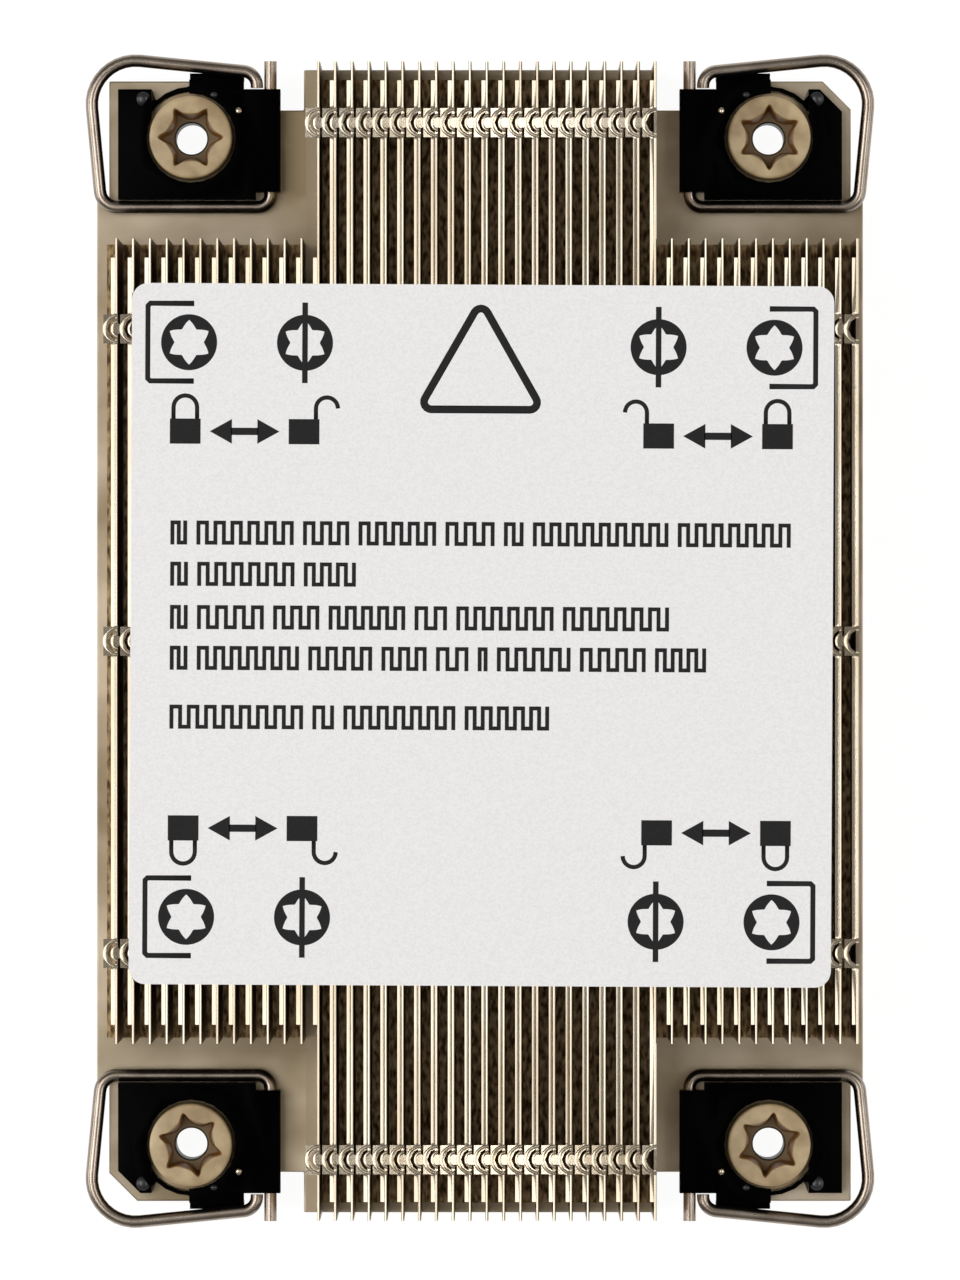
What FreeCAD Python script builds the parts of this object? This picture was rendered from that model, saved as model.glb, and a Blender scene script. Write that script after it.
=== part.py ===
import FreeCAD, Part
import math
import os

# Passive heatsink for a low server chassis. Millimetres, +Z up, airflow along Y.
# The origin is at the centre of the footprint, on the contact face under the base.
# A nickel-plated base plate carries a soldered stack of zipper fins: folded sheets
# whose top tabs hook into one another. Each corner holds a captive nut, the moulded
# retainer that keeps it in the plate, and a bent wire that swings about the retainer.

Vector = FreeCAD.Vector

# ---------------------------------------------------------------- base plate
plate_length = 118.1            # along Y, over the centre tongue
plate_width = 79.2              # along X, between the two corner regions
plate_thickness = 4.0
pedestal_height = 1.0           # contact pad that stands below the plate
pedestal_length = 78.0
pedestal_width = 58.0
pedestal_corner_cut = 3.0
corner_step_x = 1.25            # plate edge to the narrower corner regions
corner_step_y = 1.15            # tongue end to the shorter corner regions
corner_depth = 13.15            # tongue end to the shoulder of a corner region
corner_cut = 2.9                # chamfer on two opposite plate corners
tongue_margin = 0.2             # tongue beyond the outermost long fin
notch_depth = 4.15              # gap between the tongue and each corner region
notch_hole_wall = 0.7425        # plate left between that gap and a nut's hole

# ---------------------------------------------------------------- fins
fin_count = 45
short_fins_each_side = 12
edge_strip = 1.0125             # bare plate outside the outermost fins
short_fin_setback = 18.05       # plate end to the end of a short fin
fin_sheet = 0.3
fin_height = 20.5
top_flange_width = 0.7
top_flange_setback = 1.95       # bare web at both ends of the top edge
foot_gap = 0.02                 # between neighbouring foot flanges

# ---------------------------------------------------------------- zipper tabs
inner_row_setback = 9.2         # short fin end to the row near it
outer_row_setback = 6.25        # long fin end to the row near it
tab_gap = 0.24                  # between a tab's edge and the next web
closed_tab_cut = 0.43           # on the plain tabs under the label
eye_rim = 0.375                 # sheet left around a tab's opening
hook_width = 1.0
hook_reach = 0.56               # how far a hook enters the next fin's eye
edge_fins_each_side = 2         # fins whose tabs stand clear of the label

# ---------------------------------------------------------------- label
label_margin_x = 3.85           # plate edge to label edge
label_margin_y = 5.1            # short fin end to label edge
label_thickness = 0.15
label_corner_radius = 1.4
label_centre_x = 0.4
label_centre_y = 0.5
label_turn_degrees = -0.3

# ---------------------------------------------------------------- captive nuts
nut_inset_x = 8.55              # from the edges of the plate's corner region
nut_inset_y = 6.0
nut_head_radius = 4.25
nut_flange_radius = 5.35
nut_flange_thickness = 1.4
nut_height_above_plate = 5.6
nut_shank_radius = 3.9
nut_shank_overhang = 0.4        # shank below the plate's underside
nut_bore_radius = 1.62          # minor radius of the thread
turned_sides = 24               # flats around the nut and around its room
nut_edge_chamfer = 0.35
socket_depth = 4.0
socket_tip_radius = 3.2
socket_tip_width = 0.9
socket_waist_radius = 2.4
socket_waist_width = 0.8
socket_lobes = 6
nut_turns_degrees = {"rear_left": 0.0, "rear_right": 30.0, "front_left": 44.0, "front_right": 22.0}

# ---------------------------------------------------------------- clearances
nut_side_clearance = 0.35       # head in its retainer hole, shank in its plate hole
flange_clearance = 0.3
nut_float = 1.2                 # lift of the captive nut
wire_running_clearance = 0.05   # radial, wire in the retainer's bore
wire_lift = 0.7                 # under the wire, above the plate
wire_end_gap = 0.2              # wire's cut end to the retainer's face
wire_side_gap = 0.1             # wire's cut end to its own shaft

# ---------------------------------------------------------------- retainers
retainer_width = 16.75
retainer_depth = 11.35
retainer_inset_x = 1.0          # from the edges of the plate's corner region
retainer_inset_y = 0.95
retainer_height = 3.1
retainer_corner_cut = 2.3
barrel_width = 3.7              # raised strip over the wire's shaft
barrel_rise = 0.45
collar_wall = 0.4               # ring around the nut's flange
collar_rise = 0.5
collar_guard_height = 1.6       # what is left of the ring in the window
window_offset_x = 0.2           # from the nut's axis to the opening over its flange
window_width = 3.9
latch_offset_x = 3.8            # hook that grips the plate's outer edge
latch_length = 5.6
latch_reach = 1.75              # past the retainer's outer face
latch_thickness = 0.4
latch_drop = 2.4
latch_edge_gap = 0.05
bend_relief = 0.75              # room for the wire's bend at the bore's mouth
stake_offset_x = 4.3
stake_offset_y = 2.25
stake_radius = 0.45
stake_height = 0.3
stake_sides = 8

# ---------------------------------------------------------------- anti-tilt wires
wire_radius = 0.675
shaft_offset_x = 1.05           # pivot shaft, from the retainer's inner face
shaft_stub_length = 2.95        # shaft past the retainer's outer face
side_offset_x = 3.25            # meeting point of side and outer leg, from the
side_offset_y = 3.55            # retainer's outer faces
inner_leg_offset_x = 1.75
tail_offset_y = 1.8
shaft_bend_radius = 1.3
inner_bend_radius = 1.8
outer_bend_radius = 4.5
tail_bend_radius = 1.5
bend_steps = 3                  # straight runs in each bend
wire_sides = 10                 # flats around the wire beyond its shaft

# ---------------------------------------------------------------- derived sizes
plate_bottom_z = pedestal_height
plate_top_z = plate_bottom_z + plate_thickness
fin_top_z = plate_top_z + fin_height
retainer_top_z = plate_top_z + retainer_height
shaft_z = plate_top_z + wire_lift + wire_radius
long_fin_length = plate_length
short_fin_length = plate_length - 2 * short_fin_setback
stack_half_width = plate_width / 2 - edge_strip
fin_pitch = 2 * stack_half_width / fin_count
long_fin_count = fin_count - 2 * short_fins_each_side
inner_row_y = short_fin_length / 2 - inner_row_setback
outer_row_y = long_fin_length / 2 - outer_row_setback
tab_reach = fin_pitch - tab_gap
eye_radius = tab_reach - eye_rim
label_width = plate_width - 2 * label_margin_x
label_length = short_fin_length - 2 * label_margin_y
tongue_half_width = long_fin_count * fin_pitch / 2 + tongue_margin
notch_floor_y = plate_length / 2 - notch_depth
shoulder_y = plate_length / 2 - corner_depth
corner_x = plate_width / 2 - corner_step_x
corner_y = plate_length / 2 - corner_step_y
nut_x = corner_x - nut_inset_x
nut_y = corner_y - nut_inset_y
nut_hole_radius = nut_shank_radius + nut_side_clearance
retainer_outer_x = corner_x - retainer_inset_x
retainer_outer_y = corner_y - retainer_inset_y
retainer_inner_x = retainer_outer_x - retainer_width
retainer_inner_y = retainer_outer_y - retainer_depth
collar_radius = nut_flange_radius + flange_clearance + collar_wall
shaft_x = retainer_inner_x + shaft_offset_x
tail_x = shaft_x + 2 * wire_radius + wire_side_gap
wire_inner_leg_y = retainer_inner_y - wire_radius - wire_end_gap / 2

# Signs of X and Y for the four corners. Every corner piece is drawn once in the
# +X +Y corner and mirrored from there.
CORNERS = {
    "rear_left": (-1, 1),
    "rear_right": (1, 1),
    "front_left": (-1, -1),
    "front_right": (1, -1),
}


# ---------------------------------------------------------------- helpers
def block(x_range, y_range, z_range):
    """Box between two values on each axis."""
    size = [abs(pair[1] - pair[0]) for pair in (x_range, y_range, z_range)]
    corner = Vector(min(x_range), min(y_range), min(z_range))
    return Part.makeBox(size[0], size[1], size[2], corner)


def post(radius, centre, z_range):
    """Upright cylinder between two levels."""
    base = Vector(centre[0], centre[1], min(z_range))
    return Part.makeCylinder(radius, abs(z_range[1] - z_range[0]), base)


def many_sided(radius, centre, z_range, sides):
    """Upright post with flat sides, its corners on the given radius."""
    corners = []
    for side in range(sides):
        angle = 2 * math.pi * side / sides
        corners.append((centre[0] + radius * math.cos(angle), centre[1] + radius * math.sin(angle)))
    return prism(corners, z_range)


def prism(outline, z_range):
    """Closed outline of (x, y) points, extruded between two levels."""
    points = [Vector(x, y, min(z_range)) for x, y in outline]
    face = Part.Face(Part.makePolygon(points + points[:1]))
    return face.extrude(Vector(0, 0, abs(z_range[1] - z_range[0])))


def to_corner(shape, name):
    """Mirror a piece drawn in the +X +Y corner to the named corner."""
    sign_x, sign_y = CORNERS[name]
    if sign_x < 0:
        shape = shape.mirror(Vector(0, 0, 0), Vector(1, 0, 0))
    if sign_y < 0:
        shape = shape.mirror(Vector(0, 0, 0), Vector(0, 1, 0))
    return shape


def is_cut_corner(name):
    """Two opposite corners are chamfered, so the heatsink fits one way round."""
    sign_x, sign_y = CORNERS[name]
    return sign_x == sign_y


# ---------------------------------------------------------------- base plate
def plate_corner_outline(cut):
    """Outline of the plate in one corner, from the tongue to the shoulder."""
    notch_end_x = nut_x - nut_hole_radius - notch_hole_wall
    return [
        (tongue_half_width, plate_length / 2),
        (tongue_half_width, notch_floor_y),
        (notch_end_x, notch_floor_y),
        (notch_end_x, corner_y),
        (corner_x - cut, corner_y),
        (corner_x, corner_y - cut),
        (corner_x, shoulder_y),
        (plate_width / 2, shoulder_y),
    ]


def without_repeats(points):
    """Drop a point that falls on the one before it, as at an uncut corner."""
    kept = points[:1]
    for point in points[1:]:
        if math.dist(point, kept[-1]) > 1e-6:
            kept.append(point)
    return kept


def plate_outline():
    """The whole plate outline, walked corner by corner."""
    outline = []
    for name in ("rear_right", "front_right", "front_left", "rear_left"):
        sign_x, sign_y = CORNERS[name]
        cut = corner_cut if is_cut_corner(name) else 0.0
        points = [(sign_x * x, sign_y * y) for x, y in plate_corner_outline(cut)]
        outline += points if is_cut_corner(name) else points[::-1]
    return without_repeats(outline)


def make_base_plate():
    """Plate with its contact pedestal and the four nut holes."""
    plate = prism(plate_outline(), (plate_bottom_z, plate_top_z))
    half_x = pedestal_width / 2
    half_y = pedestal_length / 2
    cut = pedestal_corner_cut
    pedestal_outline = [
        (half_x, half_y - cut), (half_x - cut, half_y),
        (cut - half_x, half_y), (-half_x, half_y - cut),
        (-half_x, cut - half_y), (cut - half_x, -half_y),
        (half_x - cut, -half_y), (half_x, cut - half_y),
    ]
    plate = plate.fuse(prism(pedestal_outline, (0, plate_bottom_z)))
    hole = post(nut_hole_radius, (nut_x, nut_y), (plate_bottom_z, plate_top_z))
    plate = plate.cut([to_corner(hole, name) for name in CORNERS])
    return plate.removeSplitter()


# ---------------------------------------------------------------- fins
def web_face_x(number):
    """X of the right-hand face of a fin's web; fins are numbered from the left."""
    return number * fin_pitch - stack_half_width


def is_long(number):
    """The middle fins run the full length, between the corner pieces."""
    return short_fins_each_side < number <= fin_count - short_fins_each_side


def rows_of(number):
    """Y of each zipper row that a fin takes part in."""
    rows = [-inner_row_y, 0.0, inner_row_y]
    if is_long(number):
        rows = [-outer_row_y] + rows + [outer_row_y]
    return rows


def has_eye(number, row_y):
    """Tabs under the label are closed; the ones in the open have an eye."""
    if not 1 <= number <= fin_count or row_y not in rows_of(number):
        return False
    in_open = min(number, fin_count + 1 - number) <= edge_fins_each_side
    return in_open or abs(row_y) == outer_row_y


def closed_tab_outline(row_y):
    """Plain tab's edge, walked towards +Y, as (x from the web, y) points."""
    inner_y = tab_reach - closed_tab_cut
    return [
        (-top_flange_width, row_y - tab_reach),
        (-tab_reach, row_y - inner_y),
        (-tab_reach, row_y + inner_y),
        (-top_flange_width, row_y + tab_reach),
    ]


def open_tab_outline(row_y, with_hook):
    """Square tab's edge, with the hook that enters the eye on its left."""
    hook_tip_x = -fin_pitch - hook_reach
    half_hook = hook_width / 2
    hook = [
        (-tab_reach, row_y - half_hook),
        (hook_tip_x, row_y - half_hook),
        (hook_tip_x, row_y + half_hook),
        (-tab_reach, row_y + half_hook),
    ]
    return [
        (-top_flange_width, row_y - tab_reach),
        (-tab_reach, row_y - tab_reach),
        *(hook if with_hook else []),
        (-tab_reach, row_y + tab_reach),
        (-top_flange_width, row_y + tab_reach),
    ]


def eye_outline(row_y):
    """Opening that the next fin's hook drops into; it runs on through the web."""
    diagonal = eye_radius * math.sqrt(0.5)
    return [
        (0, row_y - eye_radius),
        (-fin_sheet, row_y - eye_radius),
        (-diagonal, row_y - diagonal),
        (-eye_radius, row_y),
        (-diagonal, row_y + diagonal),
        (-fin_sheet, row_y + eye_radius),
        (0, row_y + eye_radius),
    ]


def flange_end_y(number):
    """Where the plain flange stops; the outermost long fins carry the short one."""
    last_long = short_fins_each_side + 1
    length = short_fin_length if number <= last_long or not is_long(number) else long_fin_length
    return length / 2 - top_flange_setback


def fold_outlines(number):
    """Outlines of the sheet folded over at the top, bare web left between them."""
    end_y = flange_end_y(number)
    main = [(0, -end_y), (-top_flange_width, -end_y)]
    outlines = []
    for row_y in sorted(rows_of(number)):
        if has_eye(number, row_y):
            tab = open_tab_outline(row_y, has_eye(number - 1, row_y))
        else:
            tab = closed_tab_outline(row_y)
        if abs(row_y) < end_y:
            main += tab
        else:
            outlines.append([(0, row_y - tab_reach), *tab, (0, row_y + tab_reach)])
    main += [(-top_flange_width, end_y), (0, end_y)]
    return outlines + [main]


def make_fin(number):
    """One folded sheet: web, foot flange, top flange and zipper tabs."""
    length = long_fin_length if is_long(number) else short_fin_length
    y_range = (-length / 2, length / 2)
    web = block((-fin_sheet, 0), y_range, (plate_top_z, fin_top_z))
    foot = block((foot_gap - fin_pitch, 0), y_range, (plate_top_z, plate_top_z + fin_sheet))
    fold_z = (fin_top_z - fin_sheet, fin_top_z)
    folds = [prism(outline, fold_z) for outline in fold_outlines(number)]
    fin = web.fuse([foot] + folds)
    eyes = [prism(eye_outline(row_y), fold_z) for row_y in rows_of(number) if has_eye(number, row_y)]
    if eyes:
        fin = fin.cut(eyes)
    fin = fin.removeSplitter()
    fin.translate(Vector(web_face_x(number), 0, 0))
    return fin


# ---------------------------------------------------------------- label
def make_label():
    """Printed sheet stuck across the fins' top flanges."""
    half_x = label_width / 2
    half_y = label_length / 2
    label = block((-half_x, half_x), (-half_y, half_y), (0, label_thickness))
    upright = [edge for edge in label.Edges if abs(edge.tangentAt(edge.FirstParameter).z) > 0.9]
    label = label.makeFillet(label_corner_radius, upright)
    label.rotate(Vector(0, 0, 0), Vector(0, 0, 1), label_turn_degrees)
    label.translate(Vector(label_centre_x, label_centre_y, fin_top_z))
    return label


# ---------------------------------------------------------------- captive nuts
def socket_outline():
    """Six-lobed driver socket, flat at each tip and at each waist."""
    half_step = math.pi / socket_lobes
    outline = []
    for turn in range(2 * socket_lobes):
        angle = turn * half_step
        at_tip = turn % 2 == 0
        radius = socket_tip_radius if at_tip else socket_waist_radius
        half_width = (socket_tip_width if at_tip else socket_waist_width) / 2
        for side in (-half_width, half_width):
            x = radius * math.cos(angle) - side * math.sin(angle)
            y = radius * math.sin(angle) + side * math.cos(angle)
            outline.append((x, y))
    return outline


def make_nut(name):
    """Flanged nut: head with a driver socket, flange, threaded shank."""
    sign_x, sign_y = CORNERS[name]
    shank_z = plate_bottom_z - nut_shank_overhang
    head_z = plate_top_z + nut_height_above_plate
    flange_z = plate_top_z + nut_flange_thickness
    centre = (0, 0)
    head = many_sided(nut_head_radius, centre, (flange_z, head_z), turned_sides)
    rim = [edge for edge in head.Edges if edge.BoundBox.ZMin > head_z - nut_edge_chamfer]
    head = head.makeChamfer(nut_edge_chamfer, rim)
    flange = many_sided(nut_flange_radius, centre, (plate_top_z, flange_z), turned_sides)
    shank = many_sided(nut_shank_radius, centre, (shank_z, plate_top_z), turned_sides)
    socket = prism(socket_outline(), (head_z - socket_depth, head_z))
    bore = post(nut_bore_radius, centre, (shank_z, head_z))
    nut = head.fuse([flange, shank]).cut([socket, bore]).removeSplitter()
    nut.rotate(Vector(0, 0, 0), Vector(0, 0, 1), nut_turns_degrees[name])
    nut.translate(Vector(sign_x * nut_x, sign_y * nut_y, 0))
    return nut


# ---------------------------------------------------------------- anti-tilt wires
def bent_path(corners, radii):
    """Points along the wire's centre, with each bend split into short runs."""
    points = [corners[0]]
    for before, corner, after, radius in zip(corners, corners[1:], corners[2:], radii):
        inward = (before - corner).normalize()
        outward = (after - corner).normalize()
        half_angle = inward.getAngle(outward) / 2
        centre = corner + (inward + outward).normalize() * (radius / math.sin(half_angle))
        start = corner + inward * (radius / math.tan(half_angle)) - centre
        turn = math.degrees(math.pi - 2 * half_angle)
        side = 1 if inward.cross(outward).z < 0 else -1
        for step in range(bend_steps + 1):
            spin = FreeCAD.Rotation(Vector(0, 0, 1), side * turn * step / bend_steps)
            points.append(centre + spin.multVec(start))
    return points + [corners[-1]]


def make_wire():
    """Spring wire bent in a loop: shaft, inner leg, outer side, outer leg, tail."""
    stub_end_y = retainer_outer_y + shaft_stub_length
    tail_end_y = retainer_outer_y + wire_end_gap
    tail_corner_y = retainer_outer_y + tail_offset_y
    inner_corner_x = retainer_outer_x + inner_leg_offset_x
    side_corner = Vector(retainer_outer_x + side_offset_x, retainer_outer_y + side_offset_y, shaft_z)
    corners = [
        Vector(shaft_x, stub_end_y, shaft_z),
        Vector(shaft_x, wire_inner_leg_y, shaft_z),
        Vector(inner_corner_x, wire_inner_leg_y, shaft_z),
        side_corner,
        Vector(tail_x, tail_corner_y, shaft_z),
        Vector(tail_x, tail_end_y, shaft_z),
    ]
    radii = [shaft_bend_radius, inner_bend_radius, outer_bend_radius, tail_bend_radius]
    points = bent_path(corners, radii)
    shaft_end_y = points[1].y
    shaft = Part.makeCylinder(wire_radius, stub_end_y - shaft_end_y, points[1], Vector(0, 1, 0))
    section = []
    for side in range(wire_sides):
        angle = 2 * math.pi * side / wire_sides
        offset = Vector(wire_radius * math.cos(angle), 0, wire_radius * math.sin(angle))
        section.append(points[1] + offset)
    path = Part.makePolygon(points[1:])
    loop = path.makePipeShell([Part.makePolygon(section + section[:1])], True, False, 1)
    return loop.fuse(shaft).removeSplitter()


# ---------------------------------------------------------------- retainers
def retainer_outline(cut):
    """Footprint of the moulding, with the outer corner cut where the plate's is."""
    return without_repeats([
        (retainer_inner_x, retainer_inner_y),
        (retainer_outer_x, retainer_inner_y),
        (retainer_outer_x, retainer_outer_y - cut),
        (retainer_outer_x - cut, retainer_outer_y),
        (retainer_inner_x, retainer_outer_y),
    ])


def make_retainer(name):
    """Moulded cover that keeps the nut in the plate and carries the wire."""
    cut = retainer_corner_cut if is_cut_corner(name) else 0.0
    body = prism(retainer_outline(cut), (plate_top_z, retainer_top_z))
    barrel_x = (retainer_inner_x, retainer_inner_x + barrel_width)
    y_range = (retainer_inner_y, retainer_outer_y)
    barrel = block(barrel_x, y_range, (retainer_top_z, retainer_top_z + barrel_rise))
    nut_centre = (nut_x, nut_y)
    collar_z = (plate_top_z, retainer_top_z + collar_rise)
    collar = many_sided(collar_radius, nut_centre, collar_z, turned_sides)
    latch_start_x = retainer_inner_x + latch_offset_x
    latch_x = (latch_start_x, latch_start_x + latch_length)
    latch_y = (retainer_outer_y, retainer_outer_y + latch_reach)
    latch = block(latch_x, latch_y, (plate_top_z, plate_top_z + latch_thickness))
    grip_y = (corner_y + latch_edge_gap, retainer_outer_y + latch_reach)
    grip = block(latch_x, grip_y, (plate_top_z - latch_drop, plate_top_z))
    stake_centre = (retainer_inner_x + stake_offset_x, retainer_outer_y - stake_offset_y)
    stake_z = (retainer_top_z, retainer_top_z + stake_height)
    stake = many_sided(stake_radius, stake_centre, stake_z, stake_sides)
    body = body.fuse([barrel, collar, latch, grip, stake])

    top_z = retainer_top_z + collar_rise
    window_start_x = nut_x + window_offset_x
    window_x = (window_start_x, window_start_x + window_width)
    window_y = (nut_y, corner_y + collar_wall)
    window = block(window_x, window_y, (plate_top_z, top_z))
    guard_z = (plate_top_z, plate_top_z + collar_guard_height)
    guard = many_sided(collar_radius, nut_centre, guard_z, turned_sides)
    guard = guard.common(block(window_x, window_y, (plate_top_z, top_z)))
    body = body.cut(window).fuse(guard)

    pocket_top_z = plate_top_z + nut_flange_thickness + nut_float
    pocket_radius = nut_flange_radius + flange_clearance
    pocket = many_sided(pocket_radius, nut_centre, (plate_top_z, pocket_top_z), turned_sides)
    head_hole_radius = nut_head_radius + nut_side_clearance
    head_hole = many_sided(head_hole_radius, nut_centre, (plate_top_z, top_z), turned_sides)
    bore_length = retainer_outer_y - retainer_inner_y
    bore_start = Vector(shaft_x, retainer_inner_y, shaft_z)
    bore = Part.makeCylinder(wire_radius + wire_running_clearance, bore_length, bore_start, Vector(0, 1, 0))
    relief_x = (retainer_inner_x, shaft_x + shaft_bend_radius + wire_end_gap)
    relief_y = (retainer_inner_y, retainer_inner_y + bend_relief)
    relief = block(relief_x, relief_y, (plate_top_z, top_z))
    return body.cut([pocket, head_hole, bore, relief]).removeSplitter()


# ---------------------------------------------------------------- assembly
def build():
    """Every piece of the heatsink, by name."""
    pieces = {"base_plate": make_base_plate(), "label": make_label()}
    for number in range(1, fin_count + 1):
        pieces[f"fin_{number:02d}"] = make_fin(number)
    wire = make_wire()
    for name in CORNERS:
        pieces[f"retainer_{name}"] = to_corner(make_retainer(name), name)
        pieces[f"nut_{name}"] = make_nut(name)
        pieces[f"wire_{name}"] = to_corner(wire, name)
    return pieces


os.makedirs("parts", exist_ok=True)
for node, shape in build().items():
    if len(shape.Solids) == 1:
        shape = shape.Solids[0]
    shape.exportStep(f"parts/{node}.step")
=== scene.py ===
"""Studio scene of a passive server heatsink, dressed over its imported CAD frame."""

import logging
import math
from collections.abc import Iterator
from contextlib import contextmanager
from dataclasses import dataclass
from enum import Enum, IntEnum
from functools import cached_property

import bpy
from mathutils import Matrix, Vector


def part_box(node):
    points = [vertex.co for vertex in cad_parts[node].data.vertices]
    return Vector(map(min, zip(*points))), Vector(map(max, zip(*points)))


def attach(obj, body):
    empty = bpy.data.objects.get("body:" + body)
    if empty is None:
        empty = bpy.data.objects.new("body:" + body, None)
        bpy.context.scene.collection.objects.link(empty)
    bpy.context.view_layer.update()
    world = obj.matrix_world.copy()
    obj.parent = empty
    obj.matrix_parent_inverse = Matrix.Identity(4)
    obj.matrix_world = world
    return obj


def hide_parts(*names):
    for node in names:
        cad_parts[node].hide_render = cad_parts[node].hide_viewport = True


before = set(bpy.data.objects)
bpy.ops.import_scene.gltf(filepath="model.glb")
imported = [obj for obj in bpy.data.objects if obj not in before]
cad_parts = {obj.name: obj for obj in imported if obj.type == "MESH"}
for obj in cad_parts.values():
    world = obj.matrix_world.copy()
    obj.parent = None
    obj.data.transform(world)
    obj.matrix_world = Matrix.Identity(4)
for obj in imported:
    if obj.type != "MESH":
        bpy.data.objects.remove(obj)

LOG = logging.getLogger("heatsink")
MM = 0.001
TOUCHING = 2e-6
FINE_CUT = 1e-7
FLAT_DEGREES = 0.6
HALF_TURN = 180
# Octaves of finer grain in a surface's noise.
STREAKY, CLOUDY, GRAINY = 1.0, 2.0, 3.0

Piece = bpy.types.Object
Material = bpy.types.Material
Tree = bpy.types.NodeTree
Socket = bpy.types.NodeSocket
Pair = tuple[float, float]
Triple = tuple[float, float, float]
Box = tuple[float, float, float, float]


class Axis(Enum):
    """Direction that a cut's plane faces."""

    X = (1, 0, 0)
    Y = (0, 1, 0)
    Z = (0, 0, 1)


class FinFace(IntEnum):
    """Finishes of a fin, in the order that its faces name them; the second is painted shade on the
    webs deep between the fins.
    """

    BRIGHT = 0
    BROWN = 1
    PLAIN = 2


class NutFace(IntEnum):
    """Finishes of a nut, in the order that its faces name them."""

    MOULDED = 0
    SOCKET = 1
    BORE = 2


class CoverFace(IntEnum):
    """Finishes of a retainer, in the order that its faces name them."""

    MOULDED = 0
    # Lighter grey for painted sheen on the cover's knob and rib.
    WORN = 1
    PIN = 2


class Corner(Enum):
    """The four corners of the plate, with the signs of X and Y there."""

    REAR_LEFT = (-1, 1)
    REAR_RIGHT = (1, 1)
    FRONT_LEFT = (-1, -1)
    FRONT_RIGHT = (1, -1)

    @property
    def key(self) -> str:
        """Name that the corner's nodes and bodies end in."""
        return self.name.lower()

    def point(self, x: float, y: float, z: float) -> Vector:
        """Point of the +X +Y corner, mirrored to this one."""
        return Vector((self.value[0] * x, self.value[1] * y, z))

    def spans(self, kind: str) -> tuple[list[float], list[float]]:
        """Distances of a corner node's inner and outer faces from the middle.

        Args:
            kind: the node's name without the corner.

        Returns:
            Inner and outer distance along X, and the same along Y, in metres.
        """
        low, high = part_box(f"{kind}_{self.key}")
        return sorted((abs(low.x), abs(high.x))), sorted((abs(low.y), abs(high.y)))


# ---------------------------------------------------------------- colour and nodes
def linear(hex_colour: str) -> tuple[float, float, float, float]:
    """Turn an sRGB hex colour into linear values.

    Args:
        hex_colour: six hex digits after a hash.

    Returns:
        Red, green, blue and an alpha of one.
    """
    channels = [int(hex_colour[i:i + 2], 16) / 255 for i in (1, 3, 5)]
    values = [c / 12.92 if c <= 0.04045 else ((c + 0.055) / 1.055) ** 2.4 for c in channels]
    return (values[0], values[1], values[2], 1.0)


def add_node(tree: Tree, kind: str, settings: dict | None = None,
             links: dict | None = None) -> bpy.types.Node:
    """Add one shader node with its settings and its incoming links.

    Args:
        tree: the node tree to add to.
        kind: the node's type name.
        settings: values for the node's unlinked inputs.
        links: input name, with the output socket that feeds it.

    Returns:
        The new node.
    """
    node = tree.nodes.new(kind)
    for key, value in (settings or {}).items():
        node.inputs[key].default_value = value
    for key, source in (links or {}).items():
        tree.links.new(source, node.inputs[key])
    return node


def noise(tree: Tree, grain_mm: Triple, detail: float) -> Socket:
    """Noise over the piece, with its grain given in millimetres.

    Args:
        tree: the node tree.
        grain_mm: size of the grain along X, Y and Z.
        detail: octaves of finer grain.

    Returns:
        The noise factor.
    """
    place = add_node(tree, "ShaderNodeTexCoord")
    scale = tuple(1 / (grain * MM) for grain in grain_mm)
    mapped = add_node(tree, "ShaderNodeMapping", {"Scale": scale},
                      {"Vector": place.outputs["Object"]})
    texture = add_node(tree, "ShaderNodeTexNoise", {"Scale": 1.0, "Detail": detail},
                       {"Vector": mapped.outputs["Vector"]})
    return texture.outputs["Fac"]


class Surface:
    """A procedural material as it is put together: its node tree and its one shader."""

    def __init__(self, name: str, inputs: dict[str, object]) -> None:
        """Start the material.

        Args:
            name: what the material is called.
            inputs: values for the shader's own inputs.
        """
        self.material = bpy.data.materials.new(name)
        self.material.use_nodes = True
        self.tree = self.material.node_tree
        self.shader = self.tree.nodes["Principled BSDF"]
        for key, value in inputs.items():
            self.shader.inputs[key].default_value = value

    def colour(self, factor: Socket, places: tuple[float, ...], colours: tuple[str, ...]) -> None:
        """Colour the surface by a ramp.

        Args:
            factor: what drives the ramp.
            places: positions of the ramp's stops.
            colours: sRGB hex colour of each stop.
        """
        node = add_node(self.tree, "ShaderNodeValToRGB", links={"Fac": factor})
        elements = node.color_ramp.elements
        stops = list(zip(places, colours))
        for element, (place, colour) in zip(elements, (stops[0], stops[-1])):
            element.position = place
            element.color = linear(colour)
        for place, colour in stops[1:-1]:
            elements.new(place).color = linear(colour)
        self.tree.links.new(node.outputs["Color"], self.shader.inputs["Base Color"])

    def roughen(self, factor: Socket, limits: Pair) -> None:
        """Let the roughness vary between two limits.

        Args:
            factor: what drives it.
            limits: roughness at zero and at one.
        """
        node = add_node(self.tree, "ShaderNodeMapRange", {"To Min": limits[0], "To Max": limits[1]},
                        {"Value": factor})
        self.tree.links.new(node.outputs["Result"], self.shader.inputs["Roughness"])

    def emboss(self, height: Socket, strength: float, depth_mm: float) -> None:
        """Give the surface a fine relief.

        Args:
            height: what drives the relief.
            strength: how much of it is felt.
            depth_mm: its depth.
        """
        node = add_node(self.tree, "ShaderNodeBump",
                        {"Strength": strength, "Distance": depth_mm * MM}, {"Height": height})
        self.tree.links.new(node.outputs["Normal"], self.shader.inputs["Normal"])


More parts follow.
